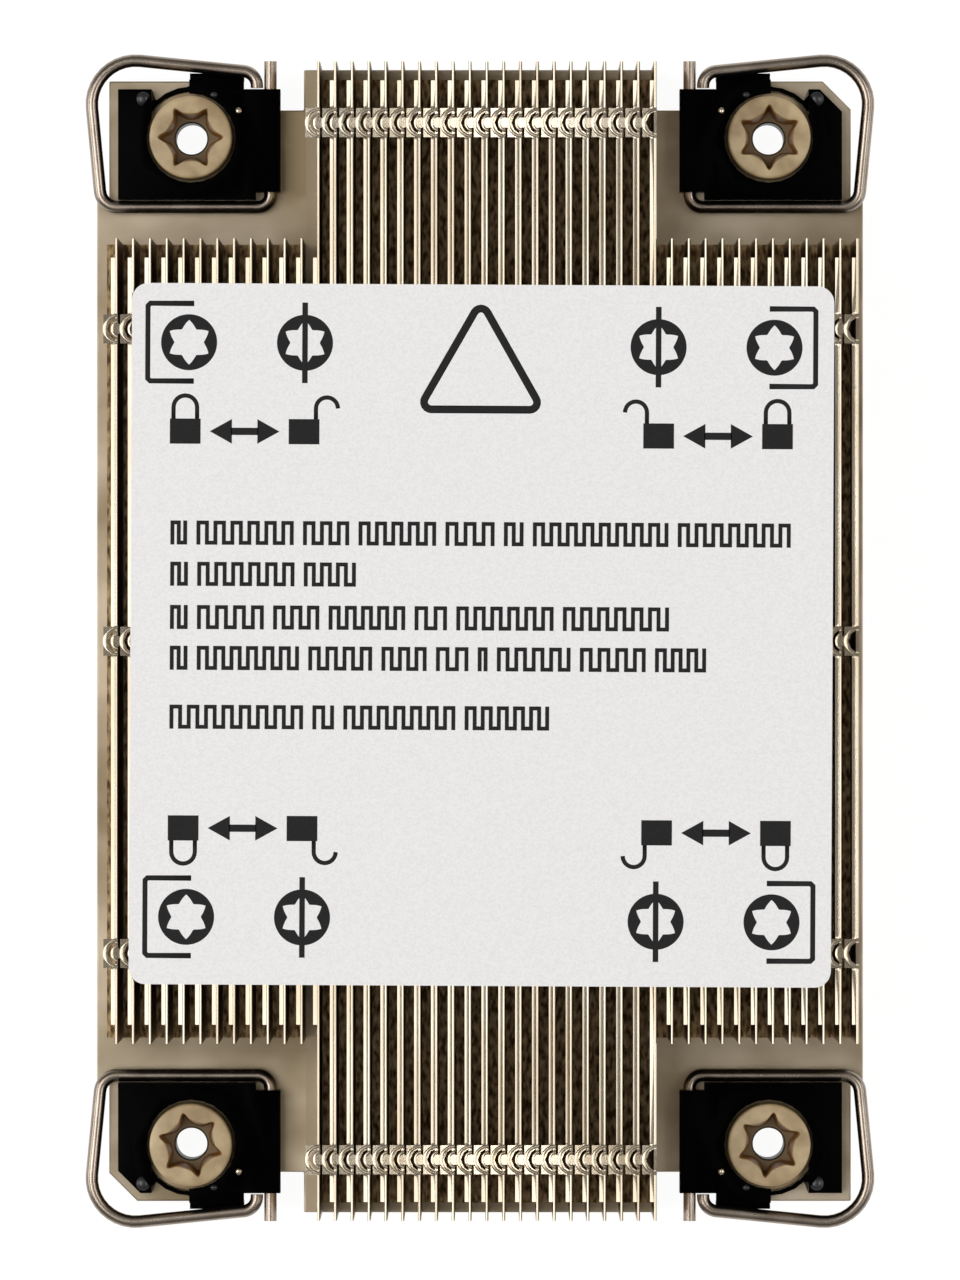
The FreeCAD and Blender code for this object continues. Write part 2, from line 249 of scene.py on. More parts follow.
# ---------------------------------------------------------------- finishes
@dataclass(frozen=True)
class RolledNickelSheet:
    """Nickel-plated sheet, rolled and folded: mirror-like, with faint lengthwise rolling lines."""

    name: str = "nickel_plated_rolled_sheet"
    bright: str = "#d9cdb9"
    dull: str = "#c4b59d"
    roughness: Pair = (0.07, 0.1)
    # Rolling lines are finer in truth: they are drawn as coarse as they need to show.
    line_mm: Triple = (0.12, 9.0, 0.6)
    cloud_mm: Triple = (6.0, 14.0, 6.0)
    stops: Pair = (0.3, 0.62)
    relief: float = 0.02
    relief_mm: float = 0.01

    def make(self) -> Material:
        """Build the material."""
        surface = Surface(self.name, {"Metallic": 1.0})
        lines = noise(surface.tree, self.line_mm, GRAINY)
        cloud = noise(surface.tree, self.cloud_mm, CLOUDY)
        surface.colour(cloud, self.stops, (self.dull, self.bright))
        surface.roughen(lines, self.roughness)
        surface.emboss(lines, self.relief, self.relief_mm)
        return surface.material


@dataclass(frozen=True)
class PaintedGapShade:
    """Painted shade: dark brown on the plating deep between the fins, mottled along the airflow."""

    name: str = "nickel_web_painted_gap_shade"
    dark: str = "#493620"
    light: str = "#a68d69"
    roughness: float = 0.34
    stain_mm: Triple = (0.4, 1.1, 1.1)
    stops: Pair = (0.36, 0.66)

    def make(self) -> Material:
        """Build the material."""
        surface = Surface(self.name, {"Metallic": 1.0, "Roughness": self.roughness})
        stain = noise(surface.tree, self.stain_mm, GRAINY)
        surface.colour(stain, self.stops, (self.dark, self.light))
        return surface.material


@dataclass(frozen=True)
class PlatedBase:
    """Nickel over a milled copper base: soft satin, with a fine cross-milled haze."""

    name: str = "nickel_plated_milled_base"
    bright: str = "#c0b29d"
    dull: str = "#86785f"
    roughness: Pair = (0.26, 0.42)
    # Cutter marks, drawn a little coarser than real ones so that they show.
    mark_mm: Triple = (4.0, 0.18, 0.5)
    cloud_mm: Triple = (16.0, 11.0, 11.0)
    stops: Pair = (0.34, 0.66)
    relief: float = 0.25
    relief_mm: float = 0.04

    def make(self) -> Material:
        """Build the material."""
        surface = Surface(self.name, {"Metallic": 1.0})
        marks = noise(surface.tree, self.mark_mm, GRAINY)
        cloud = noise(surface.tree, self.cloud_mm, GRAINY)
        surface.colour(cloud, self.stops, (self.dull, self.bright))
        surface.roughen(marks, self.roughness)
        surface.emboss(marks, self.relief, self.relief_mm)
        return surface.material


@dataclass(frozen=True)
class MouldedPlastic:
    """Injection-moulded plastic: even colour, fine mould grain, soft highlights."""

    name: str
    light: str
    dark: str
    roughness: Pair
    # Mould grain is finer in truth: it is drawn as coarse as it needs to show.
    grain_mm: float
    ior: float
    relief_mm: float = 0.02
    gloss: float = 0.5
    cloud_mm: float = 2.4
    stops: Pair = (0.3, 0.7)
    relief: float = 0.35

    def make(self) -> Material:
        """Build the material."""
        surface = Surface(self.name, {"IOR": self.ior, "Specular IOR Level": self.gloss})
        grain = noise(surface.tree, (self.grain_mm,) * 3, GRAINY)
        cloud = noise(surface.tree, (self.cloud_mm,) * 3, CLOUDY)
        surface.colour(cloud, self.stops, (self.dark, self.light))
        surface.roughen(grain, self.roughness)
        surface.emboss(grain, self.relief, self.relief_mm)
        return surface.material


@dataclass(frozen=True)
class PaintedSocketShade:
    """Moulded driver socket with painted shade: tan at its lip, brown down its wall and olive-brown
    at its floor, deepening into the recess.
    """

    name: str = "peek_socket_painted_shade"
    lip: str = "#c9a876"
    wall: str = "#8f602b"
    floor: str = "#776a48"
    roughness: float = 0.45
    depth_mm: float = 4.1
    stops: tuple[float, ...] = (0.0, 0.08, 0.7, 1.0)

    def make(self, top: float) -> Material:
        """Build the material.

        Args:
            top: height of the socket's lip, in metres.

        Returns:
            The material.
        """
        surface = Surface(self.name, {"Roughness": self.roughness})
        tree = surface.tree
        place = add_node(tree, "ShaderNodeTexCoord")
        split = add_node(tree, "ShaderNodeSeparateXYZ", links={"Vector": place.outputs["Object"]})
        height = add_node(tree, "ShaderNodeMapRange",
                          {"From Min": top - self.depth_mm * MM, "From Max": top},
                          {"Value": split.outputs["Z"]})
        surface.colour(height.outputs["Result"], self.stops,
                       (self.floor, self.wall, self.wall, self.lip))
        return surface.material


@dataclass(frozen=True)
class DrawnSpringWire:
    """Hard-drawn spring steel: smooth metal with faint drawing streaks."""

    name: str = "drawn_spring_steel_wire"
    bright: str = "#a3978b"
    dull: str = "#8d8175"
    roughness: Pair = (0.24, 0.3)
    # Drawing streaks are hair-fine in truth: they are drawn coarser so that they show.
    streak_mm: Triple = (3.0, 3.0, 0.8)
    stops: Pair = (0.3, 0.7)

    def make(self) -> Material:
        """Build the material."""
        surface = Surface(self.name, {"Metallic": 1.0})
        streaks = noise(surface.tree, self.streak_mm, STREAKY)
        surface.colour(streaks, self.stops, (self.dull, self.bright))
        surface.roughen(streaks, self.roughness)
        return surface.material


@dataclass(frozen=True)
class LabelStock:
    """Matt synthetic label stock or its printed ink: near-flat colour, finely speckled."""

    name: str
    light: str
    dark: str
    # Speckle is finer in truth: it is drawn as coarse as it needs to show.
    speckle_mm: float
    roughness: float = 0.62
    gloss: float = 0.5
    ior: float = 1.47
    stops: Pair = (0.34, 0.6)
    relief: float = 0.2
    relief_mm: float = 0.01

    def make(self) -> Material:
        """Build the material."""
        surface = Surface(self.name, {"Roughness": self.roughness, "IOR": self.ior,
                                      "Specular IOR Level": self.gloss})
        speckle = noise(surface.tree, (self.speckle_mm,) * 3, CLOUDY)
        surface.colour(speckle, self.stops, (self.dark, self.light))
        surface.emboss(speckle, self.relief, self.relief_mm)
        return surface.material


@dataclass(frozen=True)
class StudioPaper:
    """Pale backdrop paper that glows a little, so that it stays near white."""

    name: str = "pale_studio_paper"
    dark: str = "#5e5e5e"
    light: str = "#646464"
    glow: float = 0.94
    roughness: float = 0.9
    gloss: float = 0.1
    fibre_mm: float = 3.0
    stops: Pair = (0.3, 0.7)

    def make(self) -> Material:
        """Build the material."""
        surface = Surface(self.name, {
            "Roughness": self.roughness, "Specular IOR Level": self.gloss,
            "Emission Color": linear("#ffffff"), "Emission Strength": self.glow})
        fibre = noise(surface.tree, (self.fibre_mm,) * 3, CLOUDY)
        surface.colour(fibre, self.stops, (self.dark, self.light))
        return surface.material


# ---------------------------------------------------------------- modelling helpers
def deselect_all() -> None:
    """Leave edit mode and select nothing, so an operator acts on its own piece alone."""
    if bpy.context.object and bpy.context.object.mode != "OBJECT":
        bpy.ops.object.mode_set(mode="OBJECT")
    bpy.ops.object.select_all(action="DESELECT")


def pick(piece: Piece) -> None:
    """Make one piece the only selected and the active one.

    Args:
        piece: the piece.
    """
    deselect_all()
    piece.select_set(True)
    bpy.context.view_layer.objects.active = piece


@contextmanager
def editing(piece: Piece) -> Iterator[None]:
    """Edit one piece with all of it selected, then leave edit mode.

    Args:
        piece: the mesh.

    Yields:
        Nothing, once edit mode is on.
    """
    pick(piece)
    bpy.ops.object.mode_set(mode="EDIT")
    bpy.ops.mesh.select_all(action="SELECT")
    yield
    bpy.ops.object.mode_set(mode="OBJECT")


def settle(piece: Piece) -> None:
    """Put a piece's place, turn and scale into its mesh."""
    pick(piece)
    bpy.ops.object.transform_apply(location=True, rotation=True, scale=True)


def recalculate_outside(piece: Piece) -> None:
    """Merge doubled points and turn every face outwards.

    Args:
        piece: the mesh.
    """
    with editing(piece):
        bpy.ops.mesh.remove_doubles(threshold=TOUCHING)
        bpy.ops.mesh.normals_make_consistent(inside=False)


def thicken(piece: Piece, height_mm: float) -> None:
    """Raise a flat piece into a closed one.

    Args:
        piece: the flat mesh.
        height_mm: how thick it becomes.
    """
    with editing(piece):
        bpy.ops.mesh.extrude_region_move(TRANSFORM_OT_translate={"value": (0, 0, height_mm * MM)})
    recalculate_outside(piece)


def shade(piece: Piece, degrees: float) -> None:
    """Shade smooth up to an angle between faces."""
    pick(piece)
    bpy.ops.object.shade_smooth_by_angle(angle=math.radians(degrees))


def join(pieces: list[Piece], name: str) -> Piece:
    """Join several meshes into the first one.

    Args:
        pieces: the meshes.
        name: what the joined piece is called.

    Returns:
        The joined piece.
    """
    pick(pieces[0])
    for piece in pieces:
        piece.select_set(True)
    if len(pieces) > 1:
        bpy.ops.object.join()
    pieces[0].name = name
    return pieces[0]


def soften(piece: Piece, width_mm: float, segments: int, degrees: float) -> None:
    """Round every edge that is sharper than an angle.

    Args:
        piece: the mesh.
        width_mm: width of the rounding.
        segments: facets across it.
        degrees: the angle between faces.
    """
    pick(piece)
    modifier = piece.modifiers.new("bevel", "BEVEL")
    modifier.width = width_mm * MM
    modifier.segments = segments
    modifier.limit_method = "ANGLE"
    modifier.angle_limit = math.radians(degrees)
    bpy.ops.object.modifier_apply(modifier=modifier.name)


def copy_of_node(node: str, name: str) -> Piece:
    """Copy a CAD node as a mesh of its own, with merged points and whole flat faces.

    Args:
        node: the CAD node.
        name: what the copy is called.

    Returns:
        The copy.
    """
    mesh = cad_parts[node].data.copy()
    piece = bpy.data.objects.new(name, mesh)
    bpy.context.scene.collection.objects.link(piece)
    mesh.materials.clear()
    pick(piece)
    if mesh.has_custom_normals:
        bpy.ops.mesh.customdata_custom_splitnormals_clear()
    with editing(piece):
        bpy.ops.mesh.remove_doubles(threshold=TOUCHING)
        bpy.ops.mesh.dissolve_limited(angle_limit=math.radians(FLAT_DEGREES))
    return piece


def cut_across(piece: Piece, axis: Axis, levels: list[float], **options: object) -> None:
    """Cut extra edges across a piece at levels along one axis.

    Args:
        piece: the mesh.
        axis: the axis.
        levels: the levels, in metres.
        options: the operator's further settings.
    """
    normal = Vector(axis.value)
    with editing(piece):
        for level in levels:
            bpy.ops.mesh.select_all(action="SELECT")
            bpy.ops.mesh.bisect(plane_co=normal * level, plane_no=normal, **options)


def turned(name: str, profile_mm: list[Pair], steps: int) -> Piece:
    """Spin a closed profile of radii and heights about the upright axis.

    Args:
        name: what the piece is called.
        profile_mm: radius and height of each point, the last one joining the first.
        steps: how many facets go round.

    Returns:
        The turned piece, at the origin.
    """
    deselect_all()
    bpy.ops.mesh.primitive_plane_add(size=MM)
    piece = bpy.context.object
    piece.name = name
    start_radius, start_height = profile_mm[0]
    with editing(piece):
        bpy.ops.mesh.merge(type="CENTER")
        bpy.ops.transform.translate(value=(start_radius * MM, 0, start_height * MM))
        for before, after in zip(profile_mm, profile_mm[1:] + profile_mm[:1]):
            step = ((after[0] - before[0]) * MM, 0, (after[1] - before[1]) * MM)
            bpy.ops.mesh.extrude_vertices_move(TRANSFORM_OT_translate={"value": step})
        bpy.ops.mesh.select_all(action="SELECT")
        bpy.ops.mesh.remove_doubles(threshold=TOUCHING)
        bpy.ops.mesh.select_all(action="SELECT")
        bpy.ops.mesh.spin(steps=steps, angle=2 * math.pi, center=(0, 0, 0), axis=(0, 0, 1))
    recalculate_outside(piece)
    return piece


def rounded_route(corners: list[Vector], radii: list[float], steps: int) -> list[Vector]:
    """Points along straight runs joined by arcs.

    Args:
        corners: where the straight runs meet, with both ends.
        radii: radius of each bend.
        steps: facets in each bend.

    Returns:
        The points in order.
    """
    points = [corners[0]]
    for before, corner, after, radius in zip(corners, corners[1:], corners[2:], radii):
        inward = (before - corner).normalized()
        outward = (after - corner).normalized()
        half = inward.angle(outward) / 2
        centre = corner + (inward + outward).normalized() * (radius / math.sin(half))
        reach = radius / math.tan(half)
        start = (corner + inward * reach - centre).normalized()
        end = (corner + outward * reach - centre).normalized()
        points += [centre + radius * start.slerp(end, step / steps) for step in range(steps + 1)]
    return points + [corners[-1]]


def tube(name: str, points: list[Vector], radius: float, closed: bool = False,
         resolution: int = 6) -> Piece:
    """Round bar that follows a line of points, made a mesh.

    Args:
        name: what the piece is called.
        points: the line, in metres.
        radius: the bar's radius, in metres.
        closed: whether the line returns to its start.
        resolution: facets in a quarter of the section.

    Returns:
        The mesh.
    """
    curve = bpy.data.curves.new(name, "CURVE")
    curve.dimensions = "3D"
    spline = curve.splines.new("POLY")
    spline.points.add(len(points) - 1)
    for slot, point in zip(spline.points, points):
        slot.co = (*point, 1.0)
    spline.use_cyclic_u = closed
    curve.bevel_depth = radius
    curve.bevel_resolution = resolution
    curve.use_fill_caps = True
    piece = bpy.data.objects.new(name, curve)
    bpy.context.scene.collection.objects.link(piece)
    pick(piece)
    bpy.ops.object.convert(target="MESH")
    piece = bpy.context.object
    recalculate_outside(piece)
    return piece


def dress(piece: Piece, finishes: list[Material], nodes: list[str], body: str) -> None:
    """Give a finished piece its materials, its body and the nodes it stands for.

    Args:
        piece: the finished mesh.
        finishes: its materials, in the order that its faces name them.
        nodes: CAD nodes that it replaces.
        body: the body that it rides on.
    """
    marks = [polygon.material_index for polygon in piece.data.polygons]
    piece.data.materials.clear()
    for finish in finishes:
        piece.data.materials.append(finish)
    if len(finishes) > 1:
        piece.data.polygons.foreach_set("material_index", marks)
    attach(piece, body)
    if nodes:
        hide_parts(*nodes)
    LOG.info("%s: %d faces on %s", piece.name, len(piece.data.polygons), body)


# ---------------------------------------------------------------- base plate
@dataclass
class BasePlate:
    """Machined base with its contact pedestal."""

    edge_break_mm: float = 0.14
    edge_steps: int = 2
    edge_degrees: float = 50.0
    smooth_degrees: float = 5.0
    finish: PlatedBase = PlatedBase()

    def build(self) -> None:
        """Break the plate's sharp edges and plate it."""
        piece = copy_of_node("base_plate", "plated_base")
        soften(piece, self.edge_break_mm, self.edge_steps, self.edge_degrees)
        shade(piece, self.smooth_degrees)
        dress(piece, [self.finish.make()], ["base_plate"], "heatsink")


# ---------------------------------------------------------------- fin stack
@dataclass
class FinStack:
    """Zipper fins: folded sheets with rounded folds and a raised ring at each open tab."""

    fold_radius_mm: float = 0.26
    fold_steps: int = 4
    crease_mm: float = 0.05
    sheet_mm: float = 0.3
    flange_mm: float = 0.7
    flange_drop_mm: float = 0.05
    ring_steps: int = 32
    ring_sides: int = 12
    ring_radius_mm: float = 1.38
    ring_wire_mm: float = 0.2
    ring_rise_mm: float = 0.12
    curl_radius_mm: float = 0.6
    curl_wire_mm: float = 0.16
    curl_rise_mm: float = 0.06
    curl_stretch: float = 1.25
    end_setback_mm: float = 1.0
    blend_mm: float = 0.25
    inner_row_setback_mm: float = 9.2
    outer_row_setback_mm: float = 6.25
    tab_reach_mm: float = 1.475
    edge_fins: int = 2
    # Below this depth from a fin's top, web faces take painted shade unless light reaches them.
    bright_mm: float = 0.75
    facing: float = 0.5
    smooth_degrees: float = 38.0
    finish: RolledNickelSheet = RolledNickelSheet()
    # Painted shade for the webs deep between the fins.
    gap_shade_finish: PaintedGapShade = PaintedGapShade()
    end_finish: PlatedBase = PlatedBase("plated_fin_ends", "#a3957f", "#8b7e69")

    @cached_property
    def fins(self) -> list[str]:
        """Names of the fin nodes, from left to right."""
        return sorted(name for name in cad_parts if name.startswith("fin_"))

    @cached_property
    def half_lengths(self) -> Pair:
        """Half lengths of the short and of the long fins, in metres."""
        halves = [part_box(name)[1].y for name in self.fins]
        return min(halves), max(halves)

    def is_long(self, node: str) -> bool:
        """Whether a fin is one of the long ones in the middle."""
        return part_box(node)[1].y > self.half_lengths[0] + TOUCHING

    def from_edge(self, number: int) -> int:
        """How many fins in from the nearer side of the stack a fin is, one for the outermost."""
        return min(number, len(self.fins) + 1 - number)

    def rows(self, node: str) -> list[float]:
        """Zipper rows of one fin.

        Args:
            node: the fin.

        Returns:
            Y of each row, in metres.
        """
        inner = self.half_lengths[0] - self.inner_row_setback_mm * MM
        outer = self.half_lengths[1] - self.outer_row_setback_mm * MM
        rows = [-inner, 0.0, inner]
        return [-outer, *rows, outer] if self.is_long(node) else rows

    def fold_sheet(self, node: str) -> Piece:
        """Round the top fold of one fin and let its flange droop a little.

        Args:
            node: the fin.

        Returns:
            The folded sheet.
        """
        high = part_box(node)[1]
        piece = copy_of_node(node, f"{node}_sheet")
        mesh = piece.data
        for parts in (mesh.vertices, mesh.polygons):
            parts.foreach_set("select", [False] * len(parts))
        for edge in mesh.edges:
            ends = [mesh.vertices[index] for index in edge.vertices]
            on_fold = all(abs(end.co.x - high.x) < TOUCHING and abs(end.co.z - high.z) < TOUCHING
                          for end in ends)
            edge.select = on_fold and abs(ends[0].co.y - ends[1].co.y) > TOUCHING
            for end in ends:
                end.select = end.select or edge.select
        bpy.ops.object.mode_set(mode="EDIT")
        bpy.ops.mesh.select_mode(type="EDGE")
        bpy.ops.mesh.bevel(offset=self.fold_radius_mm * MM, segments=self.fold_steps,
                           affect="EDGES", clamp_overlap=False)
        bpy.ops.mesh.select_mode(type="VERT")
        bpy.ops.object.mode_set(mode="OBJECT")
        crease_x = high.x - (self.fold_radius_mm + self.crease_mm) * MM
        cut_across(piece, Axis.X, [crease_x], threshold=FINE_CUT)
        reach = (self.tab_reach_mm + self.blend_mm) * MM
        rows = self.rows(node)
        cut_across(piece, Axis.Y, [row + side * reach for row in rows for side in (-1, 1)])
        edge_x = high.x - self.flange_mm * MM
        fold_z = high.z - self.sheet_mm * MM
        for vertex in mesh.vertices:
            place = vertex.co
            near_tab = any(abs(place.y - row) < reach - TOUCHING for row in rows)
            if abs(place.x - edge_x) < TOUCHING and place.z > fold_z - TOUCHING and not near_tab:
                place.z -= self.flange_drop_mm * MM
        return piece

    def exposed_side(self, number: int) -> int:
        """Side of a fin that faces out of the stack.

        Args:
            number: the fin's place in the stack, from one.

        Returns:
            Minus one for its left side, one for its right side, or zero for neither.
        """
        is_long = [self.is_long(node) for node in self.fins]
        if number in (1, is_long.index(True) + 1):
            return -1
        if number in (len(is_long), len(is_long) - is_long[::-1].index(True)):
            return 1
        return 0

    def paint_gap_shade(self, piece: Piece, node: str, number: int) -> None:
        """Mark the faces of the web: painted shade between the fins, plain where light reaches
        them.

        Args:
            piece: the fin's mesh.
            node: the fin.
            number: its place in the stack, from one.
        """
        low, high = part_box(node)
        short_half = self.half_lengths[0]
        level = high.z - self.bright_mm * MM
        side = self.exposed_side(number)
        is_inner = self.from_edge(number) != 1
        foot_top = low.z + self.sheet_mm * MM + TOUCHING
        end_y = high.y - self.end_setback_mm * MM
        cut_across(piece, Axis.Z, [level])
        if side and is_inner:
            cut_across(piece, Axis.Y, [-short_half, short_half])
        cut_across(piece, Axis.Y, [-end_y, end_y])
        for polygon in piece.data.polygons:
            middle = polygon.center
            faces_out = polygon.normal.x * side > self.facing
            beside_short = is_inner and abs(middle.y) < short_half
            is_foot = side < 0 and is_inner and middle.z < foot_top
            is_end = self.is_long(node) and abs(middle.y) > end_y
            in_light = (faces_out and not beside_short) or is_foot or is_end
            web_face = FinFace.PLAIN if in_light else FinFace.BROWN
            polygon.material_index = web_face if middle.z < level else FinFace.BRIGHT

    def half_ring(self, node: str, row: float, radius_mm: float, wire_mm: float, rise_mm: float,
                  stretch: float = 1.0) -> Piece:
        """Raised half ring that opens towards a fin's web.

        Args:
            node: the fin.
            row: Y of the tab's middle, in metres.
            radius_mm: radius of the ring's centre line.
            wire_mm: radius of its section.
            rise_mm: how far it stands above the fold.
            stretch: its length along the row's width, as a share of its radius.

        Returns:
            The ring, closed at its two ends.
        """
        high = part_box(node)[1]
        deselect_all()
        bpy.ops.mesh.primitive_torus_add(
            major_segments=self.ring_steps, minor_segments=self.ring_sides,
            major_radius=radius_mm * MM, minor_radius=wire_mm * MM)
        ring = bpy.context.object
        ring.scale = (1, stretch, 1)
        ring.location = (high.x, row, high.z + (rise_mm - wire_mm) * MM)
        settle(ring)
        cut_across(ring, Axis.X, [high.x], clear_outer=True, use_fill=True)
        return ring

    def tab(self, node: str, row: float, is_hooked: bool) -> list[Piece]:
        """Ring round a tab's opening, and the curl of the hook that sits in it.

        Args:
            node: the fin.
            row: Y of the tab's middle, in metres.
            is_hooked: whether a hook sits in the opening.

        Returns:
            The ring, and the curl if there is one.
        """
        parts = [self.half_ring(node, row, self.ring_radius_mm, self.ring_wire_mm,
                                self.ring_rise_mm)]
        if is_hooked:
            parts.append(self.half_ring(node, row, self.curl_radius_mm, self.curl_wire_mm,
                                        self.curl_rise_mm, self.curl_stretch))
        return parts

    def open_rows(self, number: int, node: str) -> list[float]:
        """Rows of a fin whose tabs stand clear of the label.

        Args:
            number: the fin's place in the stack, from one.
            node: the fin.

        Returns:
            Y of each such row, in metres.
        """
        rows = self.rows(node)
        if self.from_edge(number) <= self.edge_fins:
            return rows
        return [rows[0], rows[-1]] if self.is_long(node) else []

    def is_hooked(self, number: int, row: float) -> bool:
        """Whether the next fin has a hook in a fin's tab.

        Args:
            number: the fin's place in the stack, from one.
            row: Y of the tab's middle, in metres.

        Returns:
            True if there is a hook.
        """
        if number == len(self.fins):
            return False
        return self.is_long(self.fins[number]) or abs(row) < self.half_lengths[0]

    def build(self) -> None:
        """Fold, ring and plate every fin."""
        bright, plain, painted_shade = self.finish.make(), self.end_finish.make(), self.gap_shade_finish.make()
        for number, node in enumerate(self.fins, 1):
            sheet = self.fold_sheet(node)
            tabs = [part for row in self.open_rows(number, node)
                    for part in self.tab(node, row, self.is_hooked(number, row))]
            piece = join([sheet, *tabs], f"{node}_sheet")
            # Web faces deep between the fins get painted shade.
            self.paint_gap_shade(piece, node, number)
            shade(piece, self.smooth_degrees)
            dress(piece, [bright, painted_shade, plain], [node], "heatsink")


# ---------------------------------------------------------------- label
def rectangle(x: float, y: float, half_x: float, half_y: float) -> Box:
    """Left, bottom, right and top of a rectangle about a middle point."""
    return (x - half_x, y - half_y, x + half_x, y + half_y)


@dataclass
class Label:
    """Printed sheet across the fins. Its print is plain shapes, with no lettering."""

    width_mm: float = 71.5
    length_mm: float = 71.4
    corner_mm: float = 1.7
    corner_steps: int = 8
    smooth_degrees: float = 30.0
    sheet_mm: float = 0.12
    ink_mm: float = 0.02
    turn_degrees: float = -0.3
    shift_mm: Pair = (-0.25, 0.1)
    print_shift_mm: Pair = (-0.12, 0.13)
    stroke_mm: float = 0.44
    stroke_resolution: int = 2
    # Driver signs: a ringed star in a bracket, and one with a bar through it.
    star_x_mm: float = 29.8
    barred_x_mm: float = 18.0
    rear_y_mm: float = 29.55
    front_y_mm: float = -29.0
    rear_drop_mm: Pair = (0.0, -0.25)
    front_drop_mm: Pair = (0.05, -0.2)
    disc_mm: float = 2.85
    disc_share: float = 0.6
    disc_sides: int = 72
    star_tips: int = 6
    star_tip_mm: float = 2.28
    star_waist_mm: float = 1.5
    star_sharpness: float = 1.35
    bar_half_mm: Pair = (0.28, 4.1)
    bracket_mm: float = 0.56
    bracket_x_mm: Pair = (29.3, 34.0)
    bracket_half_mm: float = 3.95
    bracket_cut_mm: float = 0.25
    # Padlocks, closed and open, with a double arrow between them.
    lock_drop_mm: float = 9.05
    lock_x_mm: Pair = (30.15, 18.05)
    lock_half_mm: Pair = (1.56, 1.28)
    shackle_x_mm: float = 1.2
    closed_leg_mm: float = 1.15
    open_leg_mm: float = 1.1
    open_bow_mm: float = 1.12
    bow_step_degrees: int = 15
    arrow_x_mm: float = 24.1
    arrow_tip_mm: float = 3.55
    arrow_neck_mm: Pair = (1.3, 1.25)
    arrow_bar_half_mm: Pair = (1.4, 0.37)
    # The plain triangle.
    apex_mm: Pair = (-0.1, 33.9)
    base_mm: Triple = (-6.4, 6.2, 22.85)
    triangle_bend_mm: float = 0.75
    triangle_bend_steps: int = 6
    triangle_stroke_mm: float = 0.8
    # Lines of mock words: the foot of each line, and the width of each word in it.
    words_left_mm: float = -31.6
    word_gap_mm: float = 0.95
    word_height_mm: float = 2.45
    word_stroke_mm: float = 0.4
    word_pitch_mm: float = 0.86
    lines_mm: tuple[tuple[float, tuple[float, ...]], ...] = (
        (8.95, (1.7, 9.9, 4.7, 7.9, 5.0, 2.0, 13.8, 11.5)),
        (4.75, (1.8, 9.9, 5.3)),
        (0.35, (1.8, 6.8, 4.7, 7.8, 3.3, 9.9, 10.8)),
        (-3.8, (1.8, 10.4, 6.5, 4.6, 3.3, 1.0, 7.5, 6.7, 5.2)),
        (-9.8, (13.6, 2.2, 11.4, 8.6)),
    )
    stock: LabelStock = LabelStock("matt_synthetic_label_stock", "#f4f4f4", "#ecebec",
                                   speckle_mm=0.22)
    ink: LabelStock = LabelStock("thermal_print_ink", "#1b1b1d", "#131315",
                                 speckle_mm=0.2, roughness=0.6, gloss=0.25)

    def place(self, piece: Piece) -> None:
        """Move a piece drawn about the origin to the label's place and turn.

        Args:
            piece: the mesh.
        """
        low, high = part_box("label")
        centre = Vector(((low.x + high.x) / 2 + self.shift_mm[0] * MM,
                         (low.y + high.y) / 2 + self.shift_mm[1] * MM, low.z))
        turn = Matrix.Rotation(math.radians(self.turn_degrees), 4, "Z")
        piece.data.transform(Matrix.Translation(centre) @ turn)

    def sheet(self) -> Piece:
        """Cut the sheet, with round corners.

        Returns:
            The sheet, in its place.
        """
        deselect_all()
        bpy.ops.mesh.primitive_plane_add(size=1)
        sheet = bpy.context.object
        sheet.name = "label_sheet"
        sheet.scale = (self.width_mm * MM, self.length_mm * MM, 1)
        settle(sheet)
        with editing(sheet):
            bpy.ops.mesh.bevel(offset=self.corner_mm * MM, segments=self.corner_steps,
                               affect="VERTICES")
        thicken(sheet, self.sheet_mm)
        self.place(sheet)
        return sheet

    def line(self, points_mm: list[Pair], width_mm: float, closed: bool = False) -> Piece:
        """Printed line through points on the label.

        Args:
            points_mm: the points, from the label's centre.
            width_mm: how wide the line is.
            closed: whether it returns to its start.

        Returns:
            The line, as a flattened bar.
        """
        route = [Vector((x * MM, y * MM, 0)) for x, y in points_mm]
        half = width_mm / 2
        stroke = tube("ink_line", route, half * MM, closed, self.stroke_resolution)
        stroke.data.transform(Matrix.Translation((0, 0, self.sheet_mm * MM))
                              @ Matrix.Diagonal((1, 1, self.ink_mm / half, 1)))
        return stroke

    def patches(self, boxes_mm: list[Box]) -> Piece:
        """Printed rectangles, as one mesh.

        Args:
            boxes_mm: left, bottom, right and top of each, from the label's centre.

        Returns:
            The mesh.
        """
        deselect_all()
        bpy.ops.mesh.primitive_plane_add()
        made = bpy.context.object
        made.name = "ink_patches"
        with editing(made):
            bpy.ops.mesh.delete(type="VERT")
            for left, bottom, right, top in boxes_mm:
                middle = Vector(((left + right) / 2, (bottom + top) / 2, self.sheet_mm)) * MM
                bpy.ops.mesh.primitive_plane_add(size=MM, location=middle)
                bpy.ops.transform.resize(value=(right - left, top - bottom, 1),
                                         center_override=middle)
                bpy.ops.mesh.select_all(action="DESELECT")
        thicken(made, self.ink_mm)
        return made

